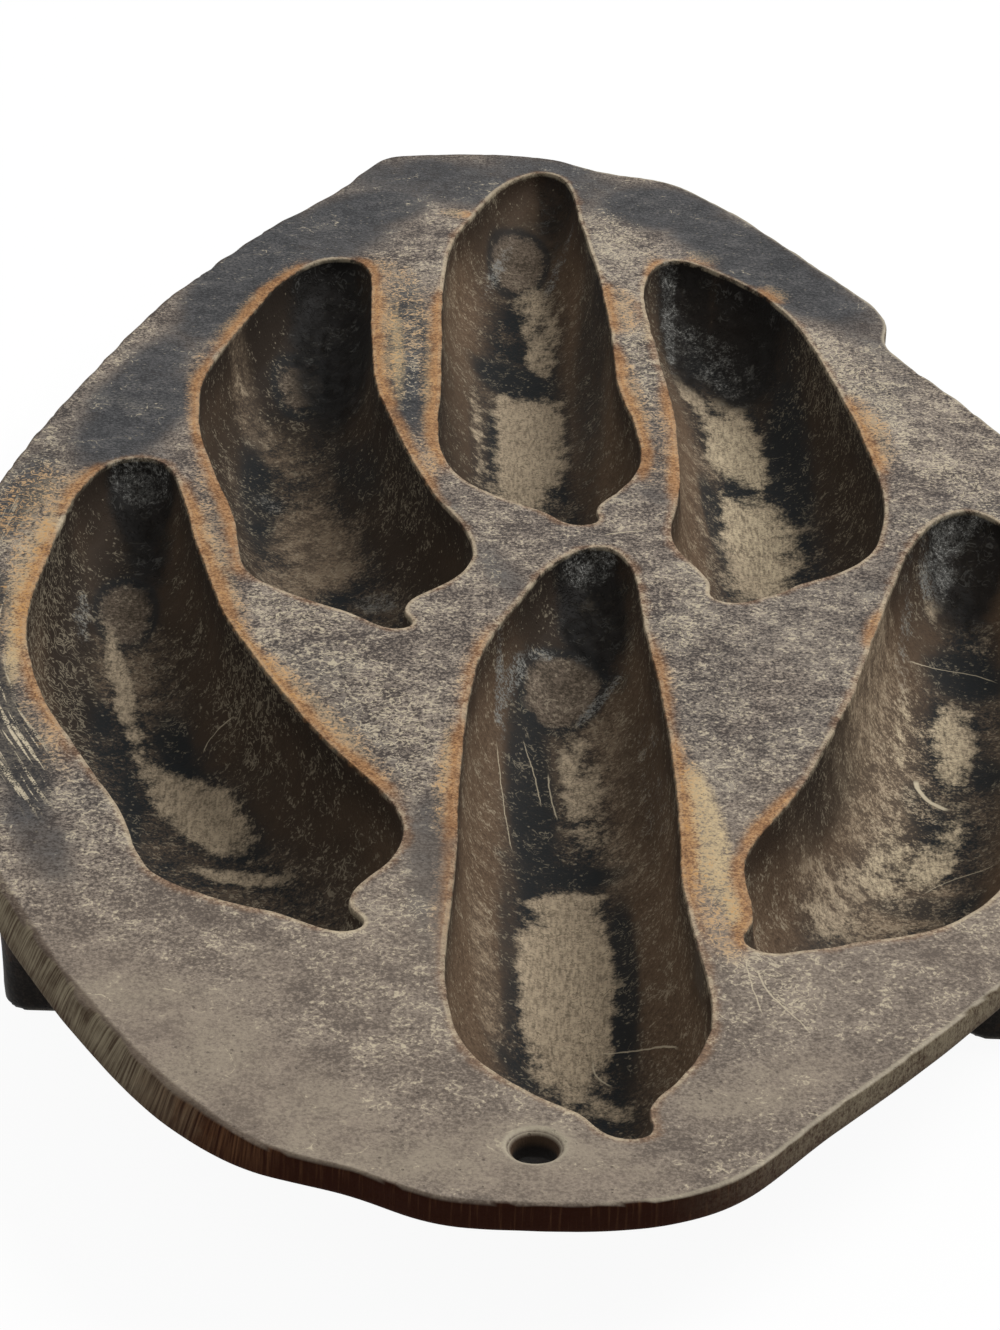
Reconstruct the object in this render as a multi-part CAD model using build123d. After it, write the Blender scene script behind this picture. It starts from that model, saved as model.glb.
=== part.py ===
from build123d import *
import math
import os

# Cast-iron baking pan with six hollows shaped like chili peppers, millimetres.
# The origin is under the middle of the pan, on the surface that it stands on; the far end is +Y.

# Plate
plate_thickness = 4.0
plate_edge_round = 0.8
hang_hole_x = -0.6
hang_hole_y = -154.4
hang_hole_diameter = 5.2
hang_hole_mouth = 0.9

# Pepper hollows
cup_depth = 19.0
full_depth_width = 31.7
section_fullness = 2.5
section_steps = 8
stem_pocket_depth = 3.2

# Shell under each hollow
wall_side = 2.3
wall_floor = 3.5
rest_trim = 0.35
boss_radius = 6.5

# Feet that stand beside the two near cups
foot_width = 14.0
foot_length = 15.0
foot_corner = 4.0
foot_draft = 3.0
foot_left_x = -63.0
foot_right_x = 61.5
foot_y = -90.8

pan_height = cup_depth + wall_floor
plate_bottom = pan_height - plate_thickness
cut_clear = 1.5

# Outer edge of the plate seen from above, clockwise from the far end
plate_outline = [
    (-27.5, 163.7), (-15.9, 165.5), (-4.4, 165.4), (2.7, 163.3), (7.6, 159.7), (14.0, 156.6),
    (21.2, 154.3), (29.7, 145.6), (38.8, 131.1), (47.3, 114.7), (56.1, 98.2), (58.7, 88.0),
    (57.7, 81.0), (60.2, 72.2), (65.3, 62.2), (73.3, 44.5), (78.7, 31.3), (82.9, 17.0),
    (85.9, 1.0), (86.7, -15.5), (85.9, -32.0), (83.9, -48.0), (80.8, -64.0), (76.2, -80.0),
    (69.2, -97.5), (58.6, -115.0), (43.5, -134.6), (29.4, -151.3), (21.7, -160.0), (11.5, -164.5),
    (-3.3, -165.6), (-12.5, -164.4), (-21.5, -160.0), (-31.5, -156.6), (-38.5, -152.2), (-51.8, -136.6),
    (-60.4, -122.2), (-67.9, -107.8), (-75.8, -89.5), (-81.8, -69.5), (-85.3, -50.0), (-86.7, -31.0),
    (-86.5, -12.0), (-84.4, 13.0), (-80.8, 33.7), (-74.6, 58.5), (-67.8, 83.0), (-58.0, 107.7),
    (-48.2, 128.0), (-36.2, 150.6),
]

# Each pattern has its own frame: the stem end at v = 0, the tip at +v, and u across.
# A station is (v, left u, right u) of the rim, and a pocket is the outline of the stem's hollow.
straight_pepper = {
    "boss": (0.0, 4.8),
    "stations": [
        (3.4, -2.2, 2.2), (4.6, -4.2, 3.0), (6.5, -7.2, 3.2), (9.5, -11.4, 5.0), (14.0, -15.8, 7.8),
        (20.0, -19.0, 10.3), (28.0, -20.6, 11.3),
        (40.0, -20.7, 10.3), (55.0, -20.1, 8.8), (72.0, -19.9, 9.0), (90.0, -19.6, 8.5),
        (106.0, -18.7, 7.6), (118.0, -16.9, 6.6), (129.0, -13.4, 5.7), (138.0, -10.2, 5.3),
        (145.0, -7.0, 4.5), (148.6, -4.3, 3.2), (150.4, -2.4, 1.9), (151.1, -1.0, 0.8),
    ],
    "pocket": [
        (-8.5, 8.4), (-4.4, 4.6), (-2.3, 1.4), (0.6, 0.0), (3.0, 0.9), (3.6, 2.8), (3.0, 5.0),
        (3.6, 8.2), (0.0, 13.0),
    ],
}
left_curved_pepper = {
    "boss": (-0.6, 5.0),
    "stations": [
        (4.2, -3.2, 1.5), (5.6, -5.4, 1.9), (7.6, -8.2, 2.3), (10.5, -12.0, 4.2), (14.5, -16.2, 8.6),
        (20.0, -20.1, 12.5), (27.0, -21.0, 14.0),
        (38.0, -21.3, 11.8), (50.0, -23.1, 8.6), (62.0, -24.9, 6.6), (73.0, -25.6, 5.2),
        (86.0, -24.9, 3.8), (98.0, -22.3, 4.1), (110.0, -17.9, 4.6), (121.0, -13.8, 5.5),
        (131.0, -9.6, 6.2), (136.5, -6.2, 6.1), (139.6, -3.8, 5.2),
        (141.2, -1.8, 3.8), (141.8, -0.4, 2.4),
    ],
    "pocket": [
        (-9.2, 8.5), (-5.0, 4.8), (-2.2, 1.6), (0.6, 0.2), (2.6, 1.0), (3.2, 2.8), (1.9, 5.2),
        (2.3, 7.6), (-1.0, 13.0),
    ],
}
right_curved_pepper = {
    "boss": (1.4, 4.4),
    "stations": [
        (2.4, -2.0, 4.4), (3.6, -2.2, 6.8), (5.5, -2.3, 10.2), (8.5, -3.0, 15.2), (13.0, -5.0, 20.2),
        (19.0, -6.9, 23.7), (26.0, -6.8, 25.5),
        (36.0, -5.0, 26.7), (50.0, -4.1, 26.5), (66.0, -3.7, 25.2), (82.0, -4.4, 23.4),
        (97.0, -5.1, 21.3), (108.0, -5.6, 18.9), (116.5, -5.7, 15.5), (123.5, -4.9, 11.0),
        (128.5, -3.4, 6.8), (131.0, -2.0, 4.2), (132.2, -0.7, 2.2), (132.6, 0.2, 1.4),
    ],
    "pocket": [
        (-2.9, 8.2), (-2.3, 5.4), (-2.9, 2.2), (-1.4, 0.2), (1.0, -0.4), (4.6, 1.6), (9.6, 5.0),
        (5.0, 12.0),
    ],
}

# Cup name: pattern, where its stem end lies, and how many degrees its tip turns to the left
cups = {
    "cup_near_centre": (straight_pepper, (9.35, -152.6), 0.4),
    "cup_far_centre": (straight_pepper, (4.95, 5.6), 2.2),
    "cup_left_near": (left_curved_pepper, (-24.35, -111.4), 17.0),
    "cup_left_far": (left_curved_pepper, (-21.55, -30.5), 6.75),
    "cup_right_far": (right_curved_pepper, (27.15, -18.4), 2.2),
    "cup_right_near": (right_curved_pepper, (27.05, -112.1), -16.75),
}


def section_depth(left, right):
    """Depth of the hollow where its rim is this wide: shallower in proportion where it is narrow."""
    return cup_depth * min(1, (right - left) / full_depth_width)


def section(v, left, right, depth):
    """Face across a pepper at v: upright walls that round into the floor, closed above the rim."""
    middle, half = (left + right) / 2, (right - left) / 2
    power = 2 / section_fullness
    points = [(left, cut_clear), (left, 0)]
    for step in range(1, section_steps):
        turn = math.pi * step / section_steps
        across = math.copysign(abs(math.cos(turn)) ** power, math.cos(turn))
        points.append((middle - half * across, -depth * math.sin(turn) ** power))
    points += [(right, 0), (right, cut_clear)]
    with BuildSketch(Plane(origin=(0, v, 0), x_dir=(1, 0, 0), z_dir=(0, -1, 0))) as sketch:
        with BuildLine():
            Spline(*points, tangents=[(0, -1), (0, 1)])
            Line(points[-1], points[0])
        make_face()
    return sketch.sketch


def hollow(pattern):
    """Solid that fills one hollow, with the rim at height 0."""
    faces = [section(v, left, right, section_depth(left, right)) for v, left, right in pattern["stations"]]
    return loft(faces)


def stem_pocket(pattern):
    """Solid that fills the shallow hollow of the pepper's stem."""
    with BuildSketch(Plane.XY.offset(cut_clear)) as sketch:
        with BuildLine():
            Spline(*pattern["pocket"], periodic=True)
        make_face()
    return extrude(sketch.sketch, amount=-(cut_clear + stem_pocket_depth))


def outside(pattern):
    """Solid with the outer shape of one cup, with a boss under the stem's pocket."""
    middle = (pattern["stations"][0][0] + pattern["stations"][-1][0]) / 2
    stretch = 1 + wall_side / middle
    faces = []
    for v, left, right in pattern["stations"]:
        depth = section_depth(left, right) + wall_floor + rest_trim
        faces.append(section(middle + (v - middle) * stretch, left - wall_side, right + wall_side, depth))
    boss_height = stem_pocket_depth + wall_floor
    boss = Pos(*pattern["boss"], -boss_height / 2) * Cylinder(boss_radius, boss_height)
    return loft(faces) + boss


def below_plate(solid):
    """What is left of a solid between the surface that the pan stands on and the plate."""
    space = Pos(0, 0, plate_bottom / 2 - pan_height) * Box(1000, 1000, plate_bottom)
    return solid & space


def placed(solid, name):
    """A pattern's solid moved from its own frame to its place in the plate."""
    _, (x, y), turn = cups[name]
    return Location((x, y, pan_height), (0, 0, turn)) * solid


def make_plate(cutters):
    with BuildSketch(Plane.XY.offset(plate_bottom)) as sketch:
        with BuildLine():
            Spline(*plate_outline, periodic=True)
        make_face()
    plate = extrude(sketch.sketch, amount=plate_thickness)
    plate = fillet(plate.faces().sort_by(Axis.Z)[-1].edges(), plate_edge_round)
    hole = Pos(hang_hole_x, hang_hole_y, pan_height)
    mouth = Cone(hang_hole_diameter / 2, hang_hole_diameter / 2 + hang_hole_mouth, hang_hole_mouth)
    bore = Cylinder(hang_hole_diameter / 2, 3 * plate_thickness)
    return plate - [hole * bore, hole * Pos(0, 0, -hang_hole_mouth / 2) * mouth] - cutters


def make_foot(x, cup_outside):
    with BuildSketch(Plane.XY.offset(plate_bottom)) as sketch:
        with Locations((x, foot_y)):
            RectangleRounded(foot_width, foot_length, foot_corner)
    return extrude(sketch.sketch, amount=-plate_bottom, taper=foot_draft) - cup_outside


nodes = {}
cutters = []
outsides = {}
for pattern in (straight_pepper, left_curved_pepper, right_curved_pepper):
    filling, around = hollow(pattern), outside(pattern)
    cup = below_plate(around) - filling
    for cup_name in [name for name in cups if cups[name][0] is pattern]:
        cutters += [placed(filling, cup_name), placed(stem_pocket(pattern), cup_name)]
        outsides[cup_name] = placed(around, cup_name)
        nodes[cup_name] = placed(cup, cup_name)
nodes["top_plate"] = make_plate(cutters)
nodes["foot_left"] = make_foot(foot_left_x, outsides["cup_left_near"])
nodes["foot_right"] = make_foot(foot_right_x, outsides["cup_right_near"])

os.makedirs("parts", exist_ok=True)
for node_name, solid in nodes.items():
    export_step(solid, f"parts/{node_name}.step")
    print(node_name, "solids", len(solid.solids()), "volume", round(solid.volume))
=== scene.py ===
import math
import bpy
import bmesh
import numpy as np
from mathutils import Matrix, Vector, noise
from mathutils.bvhtree import BVHTree
from mathutils.geometry import delaunay_2d_cdt
from mathutils.kdtree import KDTree


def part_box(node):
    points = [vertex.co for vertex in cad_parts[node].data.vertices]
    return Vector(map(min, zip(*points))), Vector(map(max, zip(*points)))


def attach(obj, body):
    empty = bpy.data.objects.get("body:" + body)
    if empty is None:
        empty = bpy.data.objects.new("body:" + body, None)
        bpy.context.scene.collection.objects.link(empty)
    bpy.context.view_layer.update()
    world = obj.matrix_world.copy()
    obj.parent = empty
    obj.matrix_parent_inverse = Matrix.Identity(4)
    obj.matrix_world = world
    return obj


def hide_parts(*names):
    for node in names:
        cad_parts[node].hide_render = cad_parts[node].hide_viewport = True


# A cast-iron pan with six chili pepper hollows. The castings' outlines and depths are read from the
# frame, then rebuilt as one fine skin, which is cut into the plate and the six cups.

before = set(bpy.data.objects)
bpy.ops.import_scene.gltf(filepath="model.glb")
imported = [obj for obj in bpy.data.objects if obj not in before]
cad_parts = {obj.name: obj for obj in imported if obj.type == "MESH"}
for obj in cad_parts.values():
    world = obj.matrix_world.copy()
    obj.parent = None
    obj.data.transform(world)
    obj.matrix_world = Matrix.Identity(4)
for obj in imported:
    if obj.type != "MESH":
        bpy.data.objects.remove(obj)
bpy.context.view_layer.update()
cupNames = [name for name in sorted(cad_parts) if name.startswith("cup_")]
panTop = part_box("top_plate")[1].z * 1000      # all lengths below are millimetres
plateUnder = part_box("top_plate")[0].z * 1000
print("frame loaded, pan top at", round(panTop, 2), "mm")


# outlines

def flatOutlines(name, height):   # closed outlines of a node's flat face at this height
    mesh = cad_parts[name].data
    corners = np.array([v.co for v in mesh.vertices]) * 1000
    level = np.abs(corners[:, 2] - height) < 0.02
    keys = [tuple(p) for p in np.round(corners[:, :2], 2)]
    after = {}
    for face in mesh.polygons:
        if not all(level[i] for i in face.vertices):
            continue
        ring = [keys[i] for i in face.vertices]
        for a, b in zip(ring, ring[1:] + ring[:1]):
            if a in after.get(b, ()):
                after[b].remove(a)
            elif a != b:
                after.setdefault(a, []).append(b)
    outlines = []
    while any(after.values()):
        start = next(a for a in after if after[a])
        ring, here = [start], after[start].pop()
        while here != start:
            ring.append(here)
            here = after[here].pop()
        outlines.append(np.array(ring))
    return sorted(outlines, key=lambda ring: -abs(signedArea(ring)))


def signedArea(ring):
    ahead = np.roll(ring, -1, 0)
    return np.sum(ring[:, 0] * ahead[:, 1] - ahead[:, 0] * ring[:, 1]) / 2


def evenRing(ring, spacing, softening):   # anticlockwise, evenly spaced and slightly smoothed
    if signedArea(ring) < 0:
        ring = ring[::-1]
    closed = np.vstack([ring, ring[:1]])
    along = np.r_[0, np.cumsum(np.hypot(*np.diff(closed, axis=0).T))]
    at = np.linspace(0, along[-1], int(round(along[-1] / spacing)), endpoint=False)
    ring = np.c_[np.interp(at, along, closed[:, 0]), np.interp(at, along, closed[:, 1])]
    for _ in range(softening):
        ring = blurred(ring)
    return ring


def blurred(values):   # one pass of smoothing along a closed ring
    return (np.roll(values, 1, 0) + 2 * values + np.roll(values, -1, 0)) / 4


def inwardOf(ring):
    run = np.roll(ring, -1, 0) - np.roll(ring, 1, 0)
    return np.c_[-run[:, 1], run[:, 0]] / np.hypot(*run.T)[:, None]


def wander(spot, size, amount, where=0.0):   # smooth random value, size is the bumps' width
    return amount * noise.noise(Vector((spot[0] / size + where, spot[1] / size, spot[2] / size)))


def wobble(ring, size, amount, where):   # a ring pushed in and out by hand-filed unevenness
    push = [wander((x, y, 0), size, amount, where) for x, y in ring]
    return ring + inwardOf(ring) * np.array(push)[:, None]


def treeOf(points):
    tree = KDTree(len(points))
    for i, p in enumerate(points):
        tree.insert((p[0], p[1], 0), i)
    tree.balance()
    return tree


def inside(points, ring):   # even-odd test for many points
    x, y = points[:, 0], points[:, 1]
    odd = np.zeros(len(points), bool)
    for (ax, ay), (bx, by) in zip(ring, np.roll(ring, -1, 0)):
        if ay != by:
            odd ^= ((ay > y) != (by > y)) & (x < (bx - ax) * (y - ay) / (by - ay) + ax)
    return odd


# finish of the iron, with painted sheen, light and shade among it, as soft spots on the plan: x, y, half
# length, half width, heading, strength

spots = {
    "bare": [   # tan iron where the seasoning has worn off a floor
        (-48, -52, 13, 4, -57, 0.85), (-61, -25, 16, 1.5, -76, 0.6), (-41, -69, 7, 1.5, -18, 0.6),
        (-49, 68, 9, 2.6, -70, 0.25), (-3, 70, 23, 6, -90, 0.85), (-6, 85, 8, 1.6, -85, 0.7),
        (-11, 70, 17, 1.4, -88, 0.45), (-1, 117, 10, 3.9, -80, 0.55), (-1, 103, 7, 2.5, -81, 0.65),
        (33, 68, 15, 4.6, -82, 0.85), (26, 86, 6, 1.9, -71, 0.6), (35, 37, 18, 7.5, -88, 0.88),
        (51, -61, 12, 5, 70, 0.45), (60, -31, 12, 3.2, 85, 0.6), (53, -31, 10, 2.5, 85, 0.35),
        (47, -64, 10, 2.8, 70, 0.55), (55, -59, 11, 3, 69, 0.6), (60, 2, 4, 1.4, 66, 0.35),
        (66, -5, 3, 1.8, 28, 0.5), (41, -74, 10, 4, 61, 0.4), (4, -96, 20, 6, -89, 1),
        (3, -76, 5, 3, 5, 0.9), (6, -49, 15, 2.9, -84, 0.42), (7, -8, 3, 1.5, 73, 0.4),
        (9, -121, 4, 1.9, -56, 0.5),
    ],
    "dusty": [   # floors gone brown-grey, still matt
        (48, -46, 27, 7, 84, 0.85), (46, -72, 12, 5.5, 21, 0.85), (10, -52, 22, 4, -86, 0.5),
        (-7, -98, 16, 1.7, -85, 0.7), (27, 49, 25, 5, -87, 0.3), (-7, 133, 15, 6, 86, 0.2),
        (-67, -20, 11, 3.4, -75, 0.35), (-60, -22, 16, 3.1, -73, 0.35), (-50, 71, 10, 2.8, -75, 0.6),
        (-38, 23, 11, 6, -76, 0.5), (-42, 67, 8, 2.9, -83, 0.5), (-36, 32, 13, 5.5, -76, 1),
        (-46, 63, 9, 4, -57, 0.5),
    ],
    "disc": [   # round marks on the floors near the tips
        (-42, 82, 7.2, 3.8, -89, 0.6), (-63, -4, 6.6, 3.7, -85, 0.7), (3, -26, 6.5, 4.6, 75, 1),
        (-5, 136, 7.6, 4.2, 86, 0.9),
    ],
    "slate": [   # blue-black seasoning that is still thick
        (-53, -36, 8, 2.3, -75, 0.8), (-57, -54, 12, 1, -81, 0.8), (-48, -101, 2.6, 1.4, -12, 0.6),
        (-65, -29, 8, 2, -73, 0.6), (-47, 47, 18, 2.8, -84, 0.7), (-31, 51, 13, 3, -71, 0.5),
        (-6, 96, 8, 5, -50, 0.9), (-8.5, 73, 15, 1.3, -88, 0.6), (8, 87, 37, 2.8, -90, 0.6),
        (33, 54, 7, 2.6, -75, 0.85), (28, 42, 13, 1.8, -85, 1), (41, 57, 31, 3.4, 90, 0.8),
        (54, -48, 6, 2.8, -83, 0.9), (64, -39, 5, 2.4, -90, 0.7), (63, -13, 6, 5, -67, 0.85),
        (52, -72, 7, 2.8, 0, 0.85), (-1.5, -50, 23, 3.2, -87, 0.9), (4, -69, 8, 2.8, -11, 0.8),
        (11, -96, 18, 1.7, -89, 0.95), (-4, -92, 19, 1.3, -88, 0.5), (7, -20, 9, 2.1, -60, 0.6),
        (-3, -114, 6, 1.2, -49, 0.6), (-4, -34, 5, 0.9, -84, 0.6),
    ],
    "soot": [   # burnt crust at the tips
        (-63, 22, 11, 5, -78, 1), (-61, 11, 12, 3.8, -84, 0.7), (-37, 93, 25, 7, -83, 0.95),
        (25, 108, 18, 5, -86, 0.9), (34, 97, 13, 7, -77, 0.9), (65, 12, 13, 6, 86, 1),
        (7, -8, 14, 5, -80, 1), (2, 150, 14, 4, -85, 0.6),
    ],
    "paintedSheen": [   # painted sheen: a blue-grey reflection painted where the seasoning is thick
        (-6, -35, 7, 0.8, -89, 0.8), (-4, -27, 5, 0.8, 73, 0.8), (0, -20, 3, 1, 39, 0.6),
        (8, -29, 5, 1, 51, 0.8), (-9, 132, 9, 1.2, 75, 0.6), (2, 132, 8, 1.2, 72, 0.6),
        (-69, -8, 6, 1.1, -85, 0.6), (-45, 46, 3, 2.6, -51, 0.5), (29, 98, 11, 3.9, -59, 0.5),
        (22, 110, 13, 1.1, -89, 0.9), (63, 13, 7, 1.7, 34, 0.7), (-26, 12, 4, 2.3, -41, 0.6),
        (15, -55, 18, 1.8, -88, 0.3), (54, -12, 15, 1.1, 84, 0.4), (6.8, -3, 4, 2, 20, 1),
        (-65, 25, 6, 3, -30, 1), (60, 6, 4, 2, 60, 0.9),
    ],
    "rust": [   # orange bloom along the rims
        (-76, -17, 21, 3.2, -89, 1), (-73, 12, 9, 3.6, 71, 0.8), (-69, -57, 20, 2.5, -74, 0.55),
        (-49, -12, 25, 2.9, -76, 0.9), (-32, -55, 22, 3.2, -60, 0.9), (-50, 88, 20, 2.7, 73, 0.8),
        (-56, 49, 18, 2.5, -85, 0.8), (-50, 7, 25, 2.5, -78, 0.6), (-28, 76, 28, 3.7, -86, 0.9),
        (-21, 27, 23, 2.5, -77, 0.5), (-18, 58, 33, 2.5, -89, 1), (12, 91, 10, 3.7, -85, 0.8),
        (14, 48, 24, 2.5, -85, 0.85), (-17, 134, 2.2, 2.7, 65, 1), (20, 103, 14, 2.5, -86, 0.6),
        (20, 37, 23, 2.5, -89, 0.6), (52, 42, 13, 3.4, -84, 0.9), (28, 116, 4, 3.1, -54, 0.6),
        (40, 100, 4, 2.5, -67, 0.7), (48, -26, 6, 2.5, 79, 0.6), (30, -81, 9, 2.5, 65, 0.7),
        (25, -100, 11, 2.5, 86, 0.8), (41, -81, 8, 2.5, 10, 0.4), (-10, -42, 15, 2.5, 84, 0.45),
        (-12, -72, 15, 2.5, 88, 0.8), (-12, -102, 15, 2.5, -90, 0.4), (16, -44, 15, 2.5, -86, 0.5),
        (19, -82, 20, 2.5, -87, 0.95), (22, -107, 8, 2.5, -78, 0.6), (-24, 84, 18, 6, -87, 0.55),
        (-79, 8, 12, 4, 82, 0.85), (-28, 105, 8, 4, -60, 0.7),
    ],
    "fleck": [   # land scratched bright
        (-23, -55, 21, 5, -72, 0.6), (-41, -39, 11, 3.7, -62, 0.5), (-72, -26, 33, 3.7, -77, 0.9),
        (-37, -26, 7, 2.7, -35, 0.8), (52, 61, 23, 3.6, -76, 1), (16, 67, 15, 1.6, -85, 0.8),
        (13, 128, 12, 4, -84, 0.6), (25, 23, 14, 2.6, -81, 0.3), (-15, -111, 13, 2.6, -78, 0.4),
        (27, -117, 10, 2.3, -65, 0.5), (63, 29, 13, 3.7, -65, 0.6), (21, -105, 11, 2, -80, 0.7),
        (-22, 36, 14, 2.6, -79, 0.6), (17, -19, 16, 5, -62, 0.25), (-24, 74, 30, 4, -87, 1),
        (-80, 10, 18, 5, 82, 0.9),
    ],
    "worn": [   # land rubbed smooth and pale by hands
        (-36, -142, 31, 9, -47, 1), (-1, -158, 15, 7, -9, 1), (25, -142, 14, 5, 33, 0.65),
        (-33, -122, 7, 4, -77, 0.5),
    ],
    "pale": [   # land that is a little lighter all over; in the hollows the same spots paint light onto the bare and dusty floors
        (38, -30, 20, 9, 84, 0.8), (24, -84, 18, 4.3, -80, 0.8), (35, -122, 15, 6, 57, 0.8),
        (-25, -140, 17, 4.6, -51, 0.5), (23, -15, 19, 6, -68, 0.4), (62, 42, 10, 5, 84, 0.7),
        (47, 84, 16, 3.5, -68, 0.7), (34, 52, 30, 7, -84, 0.65), (53, -48, 28, 8, 80, 0.75),
    ],
    "scored": [   # land with long scratches round the rim
        (-73.5, -60, 22, 4, -72, 1), (-79.5, -30, 15, 3, -84, 0.8), (-81, 2, 10, 3, 88, 0.5),
    ],
    "dark": [   # land still under dark seasoning
        (-53, 102, 30, 7, 78, 1), (-67, 52, 24, 5, 77, 0.8), (-22, 155, 8, 7, -61, 0.8),
        (2, 154, 16, 5, -21, 0.6), (38, 114, 32, 8, -61, 1), (-65, -90, 12, 3.4, -70, 0.6),
        (-6, -12, 10, 2.7, -71, 0.45), (-48, -2, 19, 1.4, -79, 0.4), (-63, 28, 6, 3.6, -66, 0.4),
        (-34, 133, 14, 8, 52, 0.9), (17, 18, 5, 2.1, -74, 0.5), (50, -9, 7, 2.7, 69, 0.3),
        (-68, 29, 12, 5, -88, 0.5), (21, 140, 12, 10, -40, 0.9), (-1, 158, 12, 6, -27, 0.7),
        (-14, 150, 26, 12, -10, 0.7), (34, 122, 30, 9, -61, 0.6), (-66, 40, 20, 7, 76, 0.9),
        (-40, 118, 26, 8, 60, 0.7), (-59, 4, 7, 1.6, -74, 0.3), (-15, 9, 8, 2.8, -73, 0.4),
        (-23, 66, 30, 4, -87, 1), (-80, 12, 16, 4, 82, 0.7), (-24, -62, 20, 4, -70, 0.35),
        (-13, -98, 20, 4, -85, 0.75),
    ],
    "gold": [   # thin golden oil film beside the rust
        (-75, -31, 19, 1.6, -87, 0.8), (-41, -40, 19, 1.3, -67, 0.8), (-25, 70, 21, 1.3, -87, 0.6),
        (24, -103, 7, 1.2, -81, 0.8), (-75, -2, 10, 1.6, 86, 0.6), (-13, -68, 11, 0.8, 89, 0.6),
        (17, 82, 13, 1, -88, 0.4), (21, -84, 15, 2.6, -85, 1), (-78, 14, 14, 5, 80, 0.25),
        (-24, 84, 10, 3, -87, 0.2), (22, 92, 16, 3.2, -84, 0.9), (38, 64, 14, 2, -70, 0.5),
    ],
    "charAndShade": [   # walls darker than the rest: burnt seasoning, and painted shade on the walls that face away from the light
        (-50, -40, 70, 24, -74, 0.75), (-33, 40, 78, 24, 97, 0.9), (47, 55, 62, 9, 98, 0.85),
        (60, -40, 60, 14, 70, 0.3), (37, -60, 30, 5, 66, 0.6), (17, 75, 60, 6, 88, 0.5),
        (17, -80, 50, 4, 88, 0.2), (5, 140, 16, 12, 90, 0.5), (6, -15, 16, 12, 80, 0.6),
    ],
    "dim": [   # floors burnt darker
        # floors darker, mostly near the tips
        (-44, 88, 24, 9, -80, 0.9), (-8, 137, 15, 7, 80, 0.6), (1, -14, 15, 6, -75, 0.75),
        (14, -52, 22, 2.6, -86, 0.5), (-70, -16, 22, 3.6, -82, 0.9), (38, -62, 16, 2.4, 68, 0.6),
        (-22, 33, 16, 3, -80, 0.5), (-66, 12, 16, 6, -75, 0.7), (57, 22, 12, 5, 70, 0.6),
    ],
    "pocket": [   # grey floors of the stem pockets
        (10, -153, 7, 4, 0, 1), (6, 4, 7, 4, 0, 1), (-25, -113, 8, 5, 20, 0.35), (-22, -32, 8, 5, 10, 0.6),
        (26, -19, 6, 4, 0, 0.5), (26, -112, 8, 4, 20, 0.8),
    ],
    "slant": [   # where the outer side was ground to a slope
        (-84, -62, 34, 9, -80, 0.8), (-70, -104, 26, 10, -62, 1), (-50, -136, 22, 10, -52, 1),
        (84, -60, 30, 8, 80, 0.25),
    ],
}


def spotValues(kind, x, y):   # 0 to 1 for many places at once
    best = np.zeros(len(x))
    for cx, cy, long, wide, heading, strength in spots[kind]:
        turn = math.radians(heading)
        along = ((x - cx) * math.cos(turn) + (y - cy) * math.sin(turn)) / long
        across = ((y - cy) * math.cos(turn) - (x - cx) * math.sin(turn)) / wide
        fade = np.clip((1.7 - np.hypot(along, across)) / 1.2, 0, 1)
        best = np.maximum(best, strength * fade * fade * (3 - 2 * fade))
    return best


# the skin of the whole casting, gathered here and joined once

points, faces, kinds = [], [], []   # a point's kind is upper, edge or under
steps = []                          # how many steps along its ring a point lies


def addRows(ring, rows, kind):   # rows of (offset towards the inside, height), from the outermost on
    inward, count = inwardOf(ring), len(ring)
    numbers = []
    for offset, height in rows:
        flat = ring + inward * np.broadcast_to(offset, count)[:, None]
        numbers.append(np.arange(len(points), len(points) + count))
        points.extend(np.c_[flat, np.broadcast_to(height, count)])
        kinds.extend([kind] * count)
        steps.extend(range(count))
    for upper, lower in zip(numbers, numbers[1:]):
        for a, b in zip(range(count), np.roll(range(count), -1)):
            faces.append((upper[a], lower[a], lower[b], upper[b]))
    return numbers[0], numbers[-1]


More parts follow.
